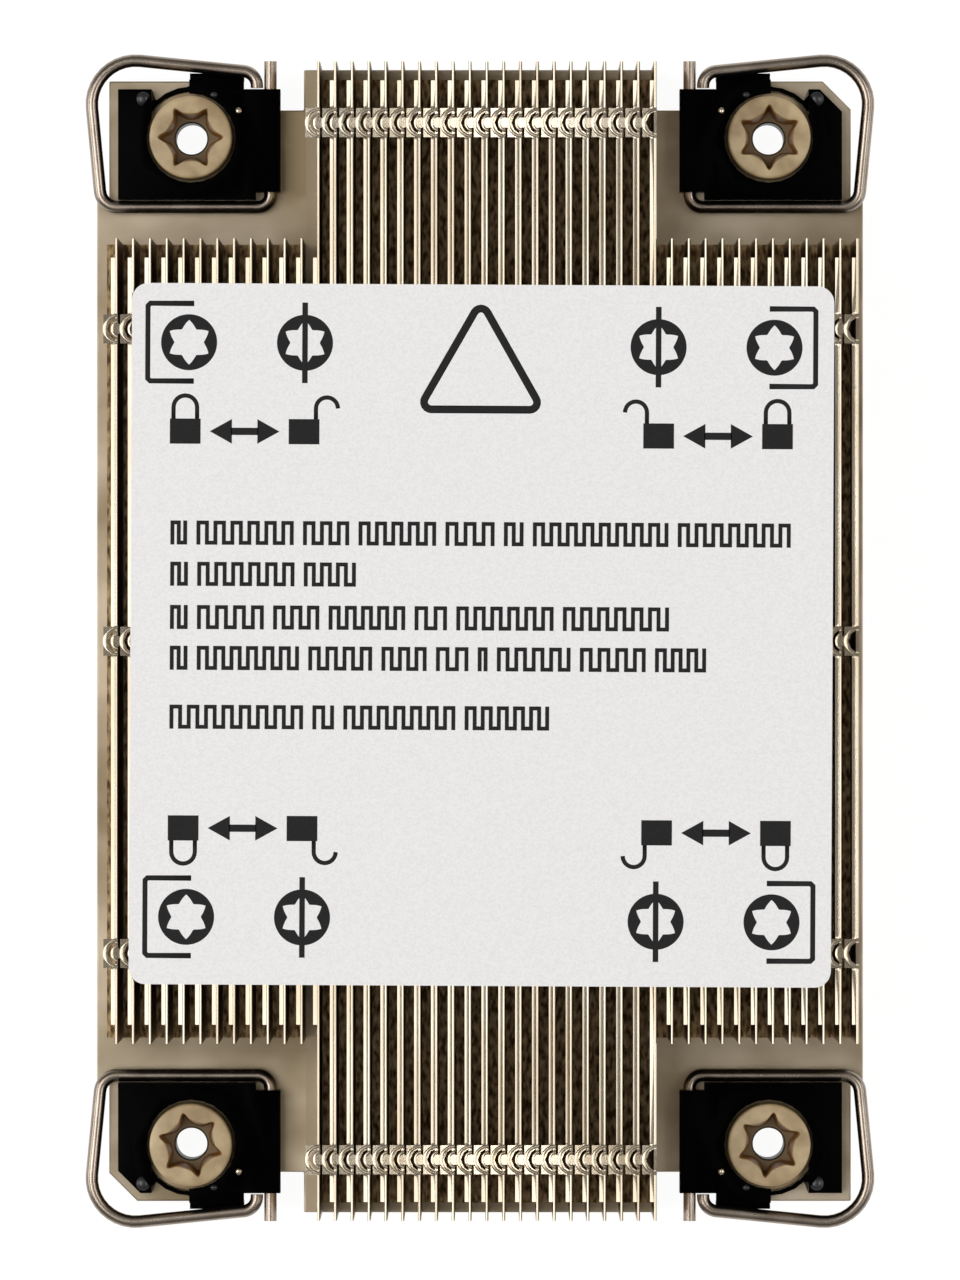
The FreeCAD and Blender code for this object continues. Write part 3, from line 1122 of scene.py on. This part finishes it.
    def driver_star(self, x: float, y: float) -> Piece:
        """Printed disc with a six-pointed opening, lower than the bar that crosses it.

        Args:
            x: centre, from the label's centre, in millimetres.
            y: the same.

        Returns:
            The disc.
        """
        deselect_all()
        centre = (0, 0, self.sheet_mm * MM)
        bpy.ops.mesh.primitive_circle_add(vertices=self.disc_sides, radius=self.disc_mm * MM,
                                          location=centre)
        disc = bpy.context.object
        disc.name = "ink_star"
        settle(disc)
        with editing(disc):
            bpy.ops.mesh.primitive_circle_add(vertices=self.disc_sides, radius=MM, location=centre)
        half_lobe = HALF_TURN / self.star_tips
        tip_rise = self.star_tip_mm - self.star_waist_mm
        for vertex in disc.data.vertices:
            radius = vertex.co.xy.length
            if radius < self.disc_mm / 2 * MM:
                turn = math.degrees(math.atan2(vertex.co.y, vertex.co.x)) - HALF_TURN / 2
                off_tip = abs((turn + half_lobe) % (2 * half_lobe) - half_lobe) / half_lobe
                lobe = tip_rise * (1 - off_tip) ** self.star_sharpness
                vertex.co.xy *= (self.star_waist_mm + lobe) * MM / radius
        with editing(disc):
            bpy.ops.mesh.bridge_edge_loops()
        thicken(disc, self.disc_share * self.ink_mm)
        disc.data.transform(Matrix.Translation((x * MM, y * MM, 0)))
        return disc

    def arrow_head(self, x: float, y: float, side: int) -> Piece:
        """Three-sided head at one end of a printed double arrow.

        Args:
            x: middle of the arrow, from the label's centre, in millimetres.
            y: the same.
            side: minus one for the left end, one for the right one.

        Returns:
            The head.
        """
        deselect_all()
        bpy.ops.mesh.primitive_circle_add(vertices=3, radius=MM, fill_type="NGON",
                                          location=(0, 0, self.sheet_mm * MM))
        head = bpy.context.object
        head.name = "ink_arrow"
        settle(head)
        neck, half = self.arrow_neck_mm
        tips = [(self.arrow_tip_mm, 0.0), (neck, half), (neck, -half)]
        for vertex, tip in zip(head.data.vertices, tips):
            vertex.co.xy = ((x + side * tip[0]) * MM, (y + tip[1]) * MM)
        thicken(head, self.ink_mm)
        return head

    def shackle(self, x: float, y: float, up: int, opened: int) -> Piece:
        """Printed padlock shackle.

        Args:
            x: middle of the padlock's body, in millimetres.
            y: the body's edge that the shackle leaves from.
            up: one for a shackle above the body, minus one below.
            opened: zero when closed, or the side that it is swung out to.

        Returns:
            The line.
        """
        radius = self.open_bow_mm if opened else self.shackle_x_mm
        way = opened or 1
        leg_x = x + way * self.shackle_x_mm if opened else x - self.shackle_x_mm
        leg_y = y + up * (self.open_leg_mm if opened else self.closed_leg_mm)
        turns = [math.radians(degrees) for degrees
                 in range(self.bow_step_degrees, HALF_TURN + 1, self.bow_step_degrees)]
        bow = [(leg_x + way * radius * (1 - math.cos(turn)), leg_y + up * radius * math.sin(turn))
               for turn in turns]
        end = [] if opened else [(x + self.shackle_x_mm, y)]
        return self.line([(leg_x, y), (leg_x, leg_y), *bow, *end], self.stroke_mm)

    def mock_words(self, base: float, widths: tuple[float, ...]) -> list[Box]:
        """Stand-in for a line of print: upright strokes joined at top and foot by turns.

        Args:
            base: the line's foot, in millimetres from the label's centre.
            widths: how long each group of strokes is.

        Returns:
            Rectangles for the whole line.
        """
        stroke = self.word_stroke_mm
        left = self.words_left_mm
        boxes = []
        for width in widths:
            count = max(1, round((width - stroke) / self.word_pitch_mm))
            step = (width - stroke) / count
            for index in range(count + 1):
                x = left + index * step
                boxes.append((x, base, x + stroke, base + self.word_height_mm))
                if index < count:
                    foot = base if index % 2 else base + self.word_height_mm - stroke
                    boxes.append((x + stroke, foot, x + step, foot + stroke))
            left += width + self.word_gap_mm
        return boxes

    def corner_signs(self, side_x: int, side_y: int) -> tuple[list[Piece], list[Box]]:
        """Signs in one corner of the label: two drivers, two padlocks and an arrow.

        Args:
            side_x: minus one for the left of the label, one for the right.
            side_y: minus one for its front, one for its rear.

        Returns:
            The shapes, and the rectangles that are still to be drawn.
        """
        star_y, drops = ((self.rear_y_mm, self.rear_drop_mm) if side_y > 0
                         else (self.front_y_mm, self.front_drop_mm))
        middle = star_y + drops[side_x > 0]
        barred_x = side_x * self.barred_x_mm
        inner_x, outer_x = self.bracket_x_mm
        cut_x = outer_x - self.bracket_cut_mm
        half = self.bracket_half_mm
        upper = [(inner_x, half), (cut_x, half), (outer_x, half - self.bracket_cut_mm)]
        bracket = upper + [(x, -y) for x, y in reversed(upper)]
        shapes = [
            self.driver_star(side_x * self.star_x_mm, middle),
            self.driver_star(barred_x, middle),
            self.line([(side_x * x, middle + y) for x, y in bracket], self.bracket_mm),
        ]
        lock_y = middle - side_y * self.lock_drop_mm
        top_y = lock_y + side_y * self.lock_half_mm[1]
        closed_x, opened_x = (side_x * x for x in self.lock_x_mm)
        arrow_x = side_x * self.arrow_x_mm
        shapes.append(self.shackle(closed_x, top_y, side_y, 0))
        shapes.append(self.shackle(opened_x, top_y, side_y, -side_x))
        shapes += [self.arrow_head(arrow_x, lock_y, side) for side in (-1, 1)]
        boxes = [
            rectangle(barred_x, middle, *self.bar_half_mm),
            rectangle(closed_x, lock_y, *self.lock_half_mm),
            rectangle(opened_x, lock_y, *self.lock_half_mm),
            rectangle(arrow_x, lock_y, *self.arrow_bar_half_mm),
        ]
        return shapes, boxes

    def triangle(self) -> Piece:
        """Printed triangle with round corners, as a plain outline.

        Returns:
            The outline.
        """
        left, right, foot = self.base_mm
        corners = [Vector((*self.apex_mm, 0)), Vector((right, foot, 0)), Vector((left, foot, 0))]
        start = (corners[0] + corners[2]) / 2
        route = rounded_route([start, *corners, start], [self.triangle_bend_mm] * len(corners),
                              self.triangle_bend_steps)
        return self.line([(p.x, p.y) for p in route[:-1]], self.triangle_stroke_mm, True)

    def print_marks(self) -> Piece:
        """Draw all the print.

        Returns:
            The print, as one thin mesh about the origin.
        """
        marks = []
        boxes = []
        for side_y in (1, -1):
            for side_x in (-1, 1):
                shapes, rectangles = self.corner_signs(side_x, side_y)
                marks += shapes
                boxes += rectangles
        marks.append(self.triangle())
        for base, widths in self.lines_mm:
            boxes += self.mock_words(base, widths)
        marks.append(self.patches(boxes))
        return join(marks, "label_print")

    def build(self) -> None:
        """Cut, print and stick the label."""
        sheet = self.sheet()
        marks = self.print_marks()
        shift_x, shift_y = self.print_shift_mm
        marks.data.transform(Matrix.Translation((shift_x * MM, shift_y * MM, 0)))
        self.place(marks)
        shade(sheet, self.smooth_degrees)
        dress(sheet, [self.stock.make()], ["label"], "heatsink")
        dress(marks, [self.ink.make()], [], "heatsink")


# ---------------------------------------------------------------- corner hardware
@dataclass
class CaptiveNut:
    """Moulded nut with a six-lobed driver socket, turned with soft edges."""

    corner: Corner
    turn_degrees: float
    finishes: list[Material]
    head_mm: float = 4.25
    flange_mm: float = 4.85
    shank_mm: float = 3.9
    bore_mm: float = 1.62
    rim_mm: float = 0.3
    rim_degrees: tuple[int, ...] = (90, 67, 45, 22, 0)
    socket_tip_mm: float = 3.35
    socket_waist_mm: float = 2.4
    socket_draft_mm: float = 0.4
    socket_depth_mm: float = 4.0
    flange_height_mm: float = 1.4
    shank_break_mm: float = 0.3
    break_mm: float = 0.1
    flange_round_mm: float = 0.2
    round_share: float = 0.3
    fillet_mm: float = 0.15
    # From the socket's lip down its wall: how far outside the tips, and how far down.
    lip_mm: tuple[Pair, ...] = ((0.12, 0.0), (0.04, 0.05), (0.0, 0.16), (-0.1, 0.9))
    margin_mm: float = 0.2
    lip_width_mm: float = 0.03
    lip_drop_mm: float = 0.08
    lobes: int = 6
    tip_sharpness: float = 6.0
    waist_roundness: float = 0.3
    facets: int = 96
    smooth_degrees: float = 32.0

    def profile(self, low: float, high: float, seat: float) -> list[Pair]:
        """Radius and height of the nut's outline, from the bore up and round.

        Args:
            low: foot of the shank, in millimetres.
            high: top of the head.
            seat: underside of the flange.

        Returns:
            The outline's points.
        """
        rim, bevel, fillet = self.rim_mm, self.break_mm, self.fillet_mm
        flange, head, bore = self.flange_mm, self.head_mm, self.bore_mm
        ledge = seat + self.flange_height_mm
        curve = self.flange_round_mm
        middle = self.round_share * curve
        floor = high - self.socket_depth_mm
        foot_of_wall = self.socket_tip_mm - self.socket_draft_mm
        arc = [(head - rim + rim * math.sin(t), high - rim + rim * math.cos(t))
               for t in (math.radians(degrees) for degrees in self.rim_degrees)]
        return [
            (bore, low), (self.shank_mm - self.shank_break_mm, low),
            (self.shank_mm, low + self.shank_break_mm), (self.shank_mm, seat),
            (flange - bevel, seat), (flange, seat + bevel),
            (flange, ledge - curve), (flange - middle, ledge - middle), (flange - curve, ledge),
            (head + fillet, ledge), (head, ledge + fillet), *arc,
            *[(self.socket_tip_mm + out, high - down) for out, down in self.lip_mm],
            (foot_of_wall, floor + bevel), (foot_of_wall - bevel, floor),
            (bore + fillet, floor), (bore, floor - fillet),
        ]

    def cut_lobes(self, piece: Piece, high: float) -> None:
        """Draw the socket's round wall in to its waists, between its tips.

        Args:
            piece: the turned nut, at the origin.
            high: top of the head, in metres.
        """
        floor = high - self.socket_depth_mm * MM
        least = (self.socket_tip_mm - self.socket_draft_mm - self.fillet_mm) * MM
        most = (self.socket_tip_mm + self.margin_mm) * MM
        drop = (self.socket_tip_mm - self.socket_waist_mm) * MM
        for vertex in piece.data.vertices:
            radius = vertex.co.xy.length
            if least < radius < most and vertex.co.z > floor - TOUCHING:
                turn = math.atan2(vertex.co.y, vertex.co.x)
                wave = 0.5 + 0.5 * math.cos(self.lobes * turn)
                lobe = (self.waist_roundness * wave
                        + (1 - self.waist_roundness) * wave ** self.tip_sharpness)
                vertex.co.xy *= (radius - drop * (1 - lobe)) / radius

    def mark_faces(self, piece: Piece, high: float) -> None:
        """Mark the faces of the bore and of the socket's wall and floor.

        Args:
            piece: the broached nut, at the origin.
            high: top of the head, in metres.
        """
        floor = high - (self.socket_depth_mm + self.margin_mm) * MM
        for polygon in piece.data.polygons:
            radius = polygon.center.xy.length
            in_bore = radius < (self.bore_mm + self.margin_mm) * MM
            in_socket = (radius < (self.socket_tip_mm + self.lip_width_mm) * MM
                         and floor < polygon.center.z < high - self.lip_drop_mm * MM)
            # The socket and bore faces take finishes darkened by painted shade.
            socket_face = NutFace.SOCKET if in_socket else NutFace.MOULDED
            polygon.material_index = NutFace.BORE if in_bore else socket_face

    def build(self) -> None:
        """Turn, broach and place the nut."""
        node = f"nut_{self.corner.key}"
        low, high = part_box(node)
        plate_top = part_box("base_plate")[1].z
        profile = self.profile(low.z / MM, high.z / MM, plate_top / MM)
        piece = turned(f"{node}_moulded", profile, self.facets)
        self.cut_lobes(piece, high.z)
        self.mark_faces(piece, high.z)
        middle = (low + high) / 2
        turn = Matrix.Rotation(math.radians(self.turn_degrees), 4, "Z")
        piece.data.transform(Matrix.Translation((middle.x, middle.y, 0)) @ turn)
        recalculate_outside(piece)
        shade(piece, self.smooth_degrees)
        dress(piece, self.finishes, [node], node)


@dataclass
class AntiTiltWire:
    """Bent spring wire that swings about its shaft in the retainer."""

    corner: Corner
    finish: Material
    bends_mm: tuple[float, ...] = (1.3, 1.8, 4.5, 1.5)
    bend_steps: int = 10
    smooth_degrees: float = 50.0
    radius_mm: float = 0.65
    shaft_inset_mm: float = 1.05
    stub_mm: float = 2.945
    latch_mm: float = 1.75
    gap_mm: float = 0.2
    side_gap_mm: float = 0.1
    inner_side_mm: float = 1.75
    outer_side_mm: float = 3.25
    outer_leg_mm: float = 3.55
    tail_mm: float = 1.8

    def route(self) -> list[Vector]:
        """Centre line of the wire.

        Returns:
            Its points, from the stub round to the cut end, in metres.
        """
        low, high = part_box(f"wire_{self.corner.key}")
        (inner_x, outer_x), (inner_y, outer_y) = self.corner.spans("retainer")
        outer_y -= self.latch_mm * MM
        shaft_x = inner_x + self.shaft_inset_mm * MM
        leg_y = inner_y - self.radius_mm * MM - self.gap_mm * MM / 2
        tail_x = shaft_x + (2 * self.radius_mm + self.side_gap_mm) * MM
        corners = [
            (shaft_x, outer_y + self.stub_mm * MM), (shaft_x, leg_y),
            (outer_x + self.inner_side_mm * MM, leg_y),
            (outer_x + self.outer_side_mm * MM, outer_y + self.outer_leg_mm * MM),
            (tail_x, outer_y + self.tail_mm * MM), (tail_x, outer_y + self.gap_mm * MM),
        ]
        points = [self.corner.point(x, y, (low.z + high.z) / 2) for x, y in corners]
        return rounded_route(points, [bend * MM for bend in self.bends_mm], self.bend_steps)

    def build(self) -> None:
        """Bend the wire."""
        node = f"wire_{self.corner.key}"
        piece = tube(f"{node}_drawn", self.route(), self.radius_mm * MM)
        shade(piece, self.smooth_degrees)
        dress(piece, [self.finish], [node], node)


@dataclass
class Retainer:
    """Moulded cover over one corner, with every edge softened."""

    corner: Corner
    finishes: list[Material]
    edge_mm: float = 0.16
    edge_steps: int = 3
    edge_degrees: float = 40.0
    smooth_degrees: float = 20.0
    dome_sides: int = 32
    latch_mm: float = 1.75
    pin_mm: Pair = (4.3, 2.25)
    pin_radius_mm: float = 0.36
    pin_rise_mm: float = 0.2
    knob_mm: Pair = (2.6, 1.0)
    knob_radius_mm: float = 0.75
    knob_rise_mm: float = 0.4
    rib_mm: Pair = (9.9, 0.6)
    rib_radius_mm: float = 0.3
    rib_rise_mm: float = 0.2
    rib_stretch: float = 1.3
    window_start_mm: float = 0.15
    guard_radii_mm: Pair = (5.5, 6.2)
    guard_height_mm: float = 1.65
    guard_draw_mm: float = 0.65

    def dome(self, cover: Piece, inset_mm: Pair, radius_mm: float, rise_mm: float,
             finish: CoverFace, stretch: float = 1.0) -> Piece:
        """Small dome that sits on the cover's top.

        Args:
            cover: the moulding.
            inset_mm: distances in from the cover's two outer faces.
            radius_mm: its radius in plan.
            rise_mm: how far it stands above the top.
            finish: which of the cover's finishes it has.
            stretch: its length along X, as a share of its width.

        Returns:
            The dome.
        """
        (_, outer_x), (_, outer_y) = self.corner.spans("retainer")
        above = self.corner.point(outer_x - inset_mm[0] * MM,
                                  outer_y - (self.latch_mm + inset_mm[1]) * MM,
                                  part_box(f"retainer_{self.corner.key}")[1].z + MM)
        found, place, _, _ = cover.ray_cast(above, (0, 0, -1))
        LOG.info("%s dome on its cover: %s", self.corner.key, found)
        deselect_all()
        bpy.ops.mesh.primitive_uv_sphere_add(
            segments=self.dome_sides, ring_count=self.dome_sides // 2, radius=radius_mm * MM)
        dome = bpy.context.object
        dome.scale = (stretch, 1, rise_mm / radius_mm)
        dome.location = place
        settle(dome)
        self.add_finishes(dome)
        for polygon in dome.data.polygons:
            polygon.material_index = finish
        return dome

    def add_finishes(self, piece: Piece) -> None:
        """Give a part of the cover all of its finishes, so that joining keeps their order.

        Args:
            piece: the part.
        """
        for finish in self.finishes:
            piece.data.materials.append(finish)

    def draw_in_guard(self, cover: Piece) -> None:
        """Bring the low wall in the cover's open corner closer to the nut.

        Args:
            cover: the moulding.
        """
        low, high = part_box(f"nut_{self.corner.key}")
        axis = (low + high) / 2
        wall_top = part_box("base_plate")[1].z + self.guard_height_mm * MM
        sign_x, sign_y = self.corner.value
        least, most = (radius * MM for radius in self.guard_radii_mm)
        for vertex in cover.data.vertices:
            across = vertex.co.xy - axis.xy
            in_window = (sign_x * across.x > self.window_start_mm * MM
                         and sign_y * across.y > -TOUCHING)
            if in_window and vertex.co.z < wall_top and least < across.length < most:
                vertex.co.xy = axis.xy + across * (1 - self.guard_draw_mm * MM / across.length)

    def build(self) -> None:
        """Soften the moulding's edges and set its small domes."""
        node = f"retainer_{self.corner.key}"
        piece = copy_of_node(node, f"{node}_moulded")
        self.draw_in_guard(piece)
        soften(piece, self.edge_mm, self.edge_steps, self.edge_degrees)
        (inner_x, outer_x), _ = self.corner.spans("retainer")
        pin_inset = ((outer_x - inner_x) / MM - self.pin_mm[0], self.pin_mm[1])
        domes = [
            self.dome(piece, pin_inset, self.pin_radius_mm, self.pin_rise_mm, CoverFace.PIN),
            # The knob and rib domes carry the painted sheen.
            self.dome(piece, self.knob_mm, self.knob_radius_mm, self.knob_rise_mm, CoverFace.WORN),
            self.dome(piece, self.rib_mm, self.rib_radius_mm, self.rib_rise_mm, CoverFace.WORN,
                      self.rib_stretch),
        ]
        self.add_finishes(piece)
        piece = join([piece, *domes], f"{node}_moulded")
        shade(piece, self.smooth_degrees)
        dress(piece, self.finishes, [node], "heatsink")


@dataclass
class CornerHardware:
    """The nut, wire and retainer of all four corners."""

    nylon: MouldedPlastic = MouldedPlastic(
        "glass_filled_nylon_black", "#040303", "#020202", roughness=(0.2, 0.3), grain_mm=0.12,
        ior=1.5, relief_mm=0.004, gloss=0.01)
    # Lighter grey painted sheen on the knob and rib domes, standing in for their glints.
    worn: MouldedPlastic = MouldedPlastic(
        "nylon_black_painted_sheen", "#2c2c32", "#18181b", roughness=(0.24, 0.34), grain_mm=0.2,
        ior=1.5, relief_mm=0.001, gloss=0.5)
    pin: RolledNickelSheet = RolledNickelSheet("nickel_plated_pin")
    peek: MouldedPlastic = MouldedPlastic(
        "moulded_peek_tan", "#c4ad83", "#9a8058", roughness=(0.36, 0.5), grain_mm=0.12, ior=1.65)
    # The socket's tan-to-brown ramp is painted shade in the recess.
    socket: PaintedSocketShade = PaintedSocketShade()
    # Dark olive on the tan nut's bore: painted shade inside the hole.
    bore: MouldedPlastic = MouldedPlastic(
        "threaded_peek_bore_painted_shade", "#3a3523", "#252114", roughness=(0.4, 0.55), grain_mm=0.12, ior=1.65)
    wire: DrawnSpringWire = DrawnSpringWire()
    nut_turns: tuple[float, ...] = (0.0, 30.0, 44.0, 22.0)

    def build(self) -> None:
        """Build each corner in turn."""
        cover = [self.nylon.make(), self.worn.make(), self.pin.make()]
        tan, bore_shade = self.peek.make(), self.bore.make()
        # Painted shade for the sockets, ramped from their lip height.
        painted_shade = self.socket.make(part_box("nut_rear_left")[1].z)
        steel = self.wire.make()
        for corner, turn in zip(Corner, self.nut_turns):
            Retainer(corner, cover).build()
            CaptiveNut(corner, turn, [tan, painted_shade, bore_shade]).build()
            AntiTiltWire(corner, steel).build()


# ---------------------------------------------------------------- studio
@dataclass(frozen=True)
class Panel:
    """Soft white panel that faces the part, with its place and spread in metres."""

    name: str
    place: Triple
    size: Pair
    radiance: float

    def hang(self) -> None:
        """Hang the panel."""
        light = bpy.data.lights.new(self.name, "AREA")
        light.shape = "RECTANGLE"
        light.size, light.size_y = self.size
        light.energy = self.radiance * math.pi * self.size[0] * self.size[1]
        lamp = bpy.data.objects.new(self.name, light)
        lamp.location = self.place
        back = Vector(self.place).normalized()
        side = Vector((0, 1, 0)).cross(back).normalized()
        lamp.rotation_euler = Matrix((side, back.cross(side), back)).transposed().to_euler()
        bpy.context.scene.collection.objects.link(lamp)


@dataclass
class Studio:
    """Plain pale floor, soft light and a camera looking straight down."""

    floor_m: float = 6.0
    camera_height_m: float = 1.296
    lens_mm: float = 358.0
    sensor_mm: float = 36.0
    clip_end_m: float = 20.0
    centre_y_mm: float = 0.12
    sky: str = "#98948f"
    sky_strength: float = 0.72
    paper: StudioPaper = StudioPaper()
    panels: tuple[Panel, ...] = (
        Panel("left_softbox", (-0.75, 0.0, 1.3), (0.5, 0.9), 4.9),
        Panel("right_softbox", (0.75, 0.0, 1.3), (0.5, 0.9), 3.3),
        Panel("rear_softbox", (0.0, 0.75, 1.3), (0.9, 0.5), 0.2),
        Panel("front_softbox", (0.0, -0.75, 1.3), (0.9, 0.5), 0.2),
        Panel("left_low_panel", (-1.1, 0.0, 0.5), (0.5, 0.9), 2.6),
        Panel("right_low_panel", (1.1, 0.0, 0.5), (0.5, 0.9), 1.6),
        Panel("upper_left_panel", (-0.43, 0.0, 1.75), (0.52, 1.2), 1.7),
        Panel("axis_strip", (-0.0075, 0.0, 1.45), (0.019, 0.28), 5.5),
    )

    def floor(self) -> None:
        """Lay a plain pale floor under the part."""
        deselect_all()
        bpy.ops.mesh.primitive_plane_add(size=self.floor_m)
        floor = bpy.context.object
        floor.name = "studio_floor"
        floor.data.materials.append(self.paper.make())

    def light(self) -> None:
        """Set the sky and hang the panels."""
        world = bpy.data.worlds.new("studio_sky")
        world.use_nodes = True
        background = world.node_tree.nodes["Background"]
        background.inputs["Color"].default_value = linear(self.sky)
        background.inputs["Strength"].default_value = self.sky_strength
        bpy.context.scene.world = world
        for panel in self.panels:
            panel.hang()

    def camera(self) -> None:
        """Set the camera straight above the part."""
        data = bpy.data.cameras.new("top_camera")
        data.sensor_fit = "VERTICAL"
        data.sensor_height = self.sensor_mm
        data.lens = self.lens_mm
        data.clip_end = self.clip_end_m
        camera = bpy.data.objects.new("top_camera", data)
        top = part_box("fin_23")[1].z
        camera.location = (0, self.centre_y_mm * MM, top + self.camera_height_m)
        bpy.context.scene.collection.objects.link(camera)
        bpy.context.scene.camera = camera

    def build(self) -> None:
        """Set up the whole studio."""
        self.floor()
        self.light()
        self.camera()
        bpy.context.scene.view_settings.view_transform = "Standard"


def main() -> None:
    """Dress the heatsink piece by piece and set it in the studio."""
    logging.basicConfig(level=logging.INFO, format="%(name)s %(message)s")
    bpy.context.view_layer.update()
    Studio().build()
    BasePlate().build()
    FinStack().build()
    Label().build()
    CornerHardware().build()
    deselect_all()


if __name__ == "__main__":
    main()
